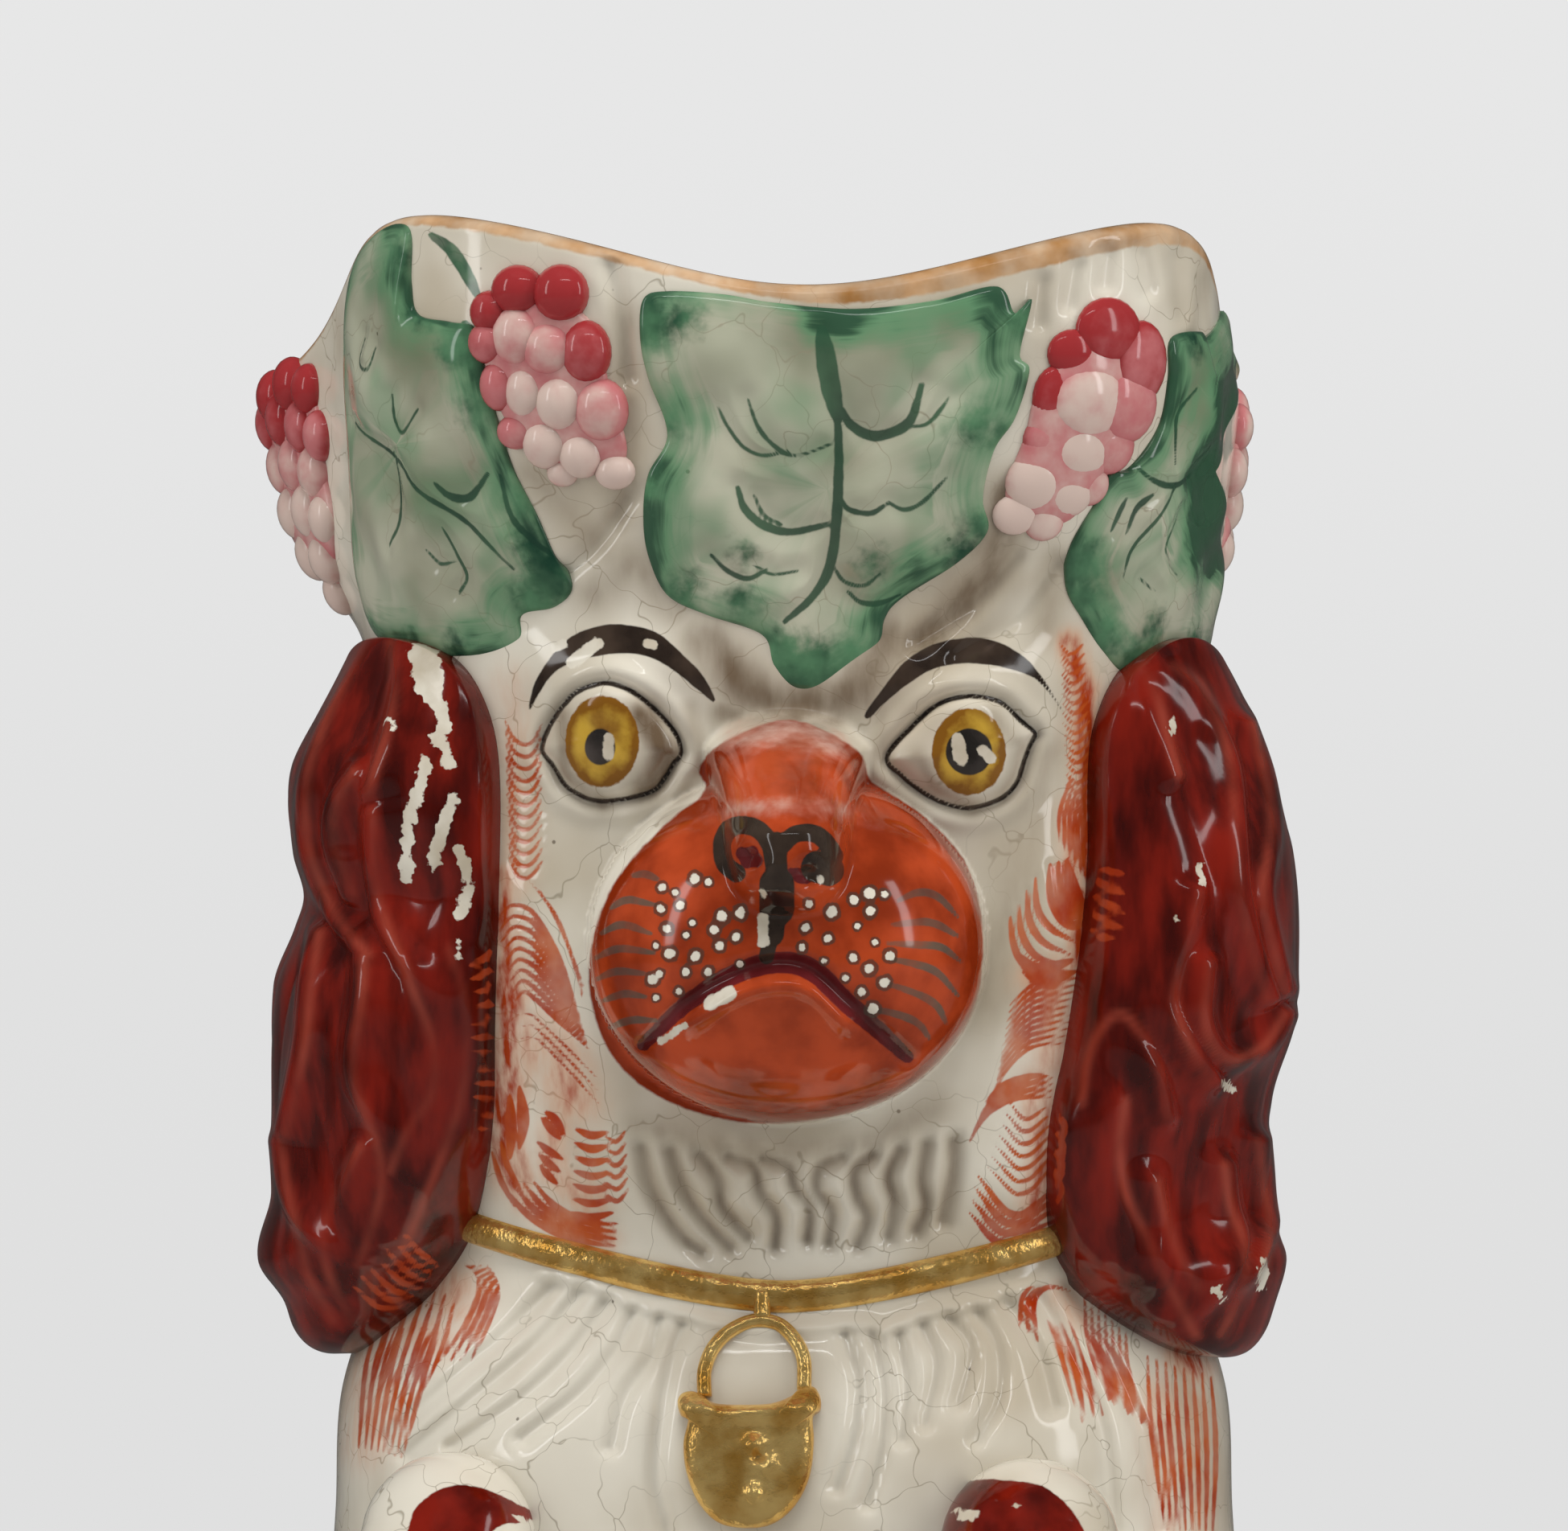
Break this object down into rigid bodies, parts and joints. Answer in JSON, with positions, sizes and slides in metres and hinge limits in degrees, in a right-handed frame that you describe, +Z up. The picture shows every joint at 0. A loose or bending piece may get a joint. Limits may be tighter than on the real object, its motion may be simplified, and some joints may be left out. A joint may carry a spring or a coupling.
{
  "type": "dog-shaped pitcher",
  "caption": "Glazed pottery jug shaped as a begging long-eared dog, with a leaf-and-grape rim for pouring, a collar with a padlock and a loop handle.",
  "frame": {"origin": "on the underside of the flat foot, on the axis that the width and the depths are measured from", "axes": "+Z up, along the jug's height; -Y the way the dog faces; +Y the handle's side; +X the viewer's right when looking at the face"},
  "size_m": [0.1399, 0.1722, 0.2616],
  "materials": {
    "glaze": "gloss, aged off-white lead glaze",
    "red_glaze": "gloss, deep red glaze",
    "green_glaze": "gloss, green glaze",
    "pink_glaze": "gloss, crimson glaze that fades to pink",
    "gilding": "worn gilding over glaze"
  },
  "bodies": {
    "root": {"front_shell": "glaze", "back_shell": "glaze", "base_slab": "glaze", "handle": "glaze", "collar_front": "gilding", "collar_back": "gilding", "padlock_body": "gilding", "padlock_shackle": "gilding", "tail": "red_glaze", "front_leaf": "green_glaze", "left_front_leaf": "green_glaze", "right_front_leaf": "green_glaze", "left_rear_leaf": "green_glaze", "right_rear_leaf": "green_glaze", "left_front_grapes": "pink_glaze", "right_front_grapes": "pink_glaze", "left_side_grapes": "pink_glaze", "right_side_grapes": "pink_glaze", "left_ear": "red_glaze", "left_foreleg": "glaze", "left_haunch": "glaze", "left_hind_foot": "glaze", "right_ear": "red_glaze", "right_foreleg": "glaze", "right_haunch": "glaze", "right_hind_foot": "glaze"}
  },
  "joints": []
}
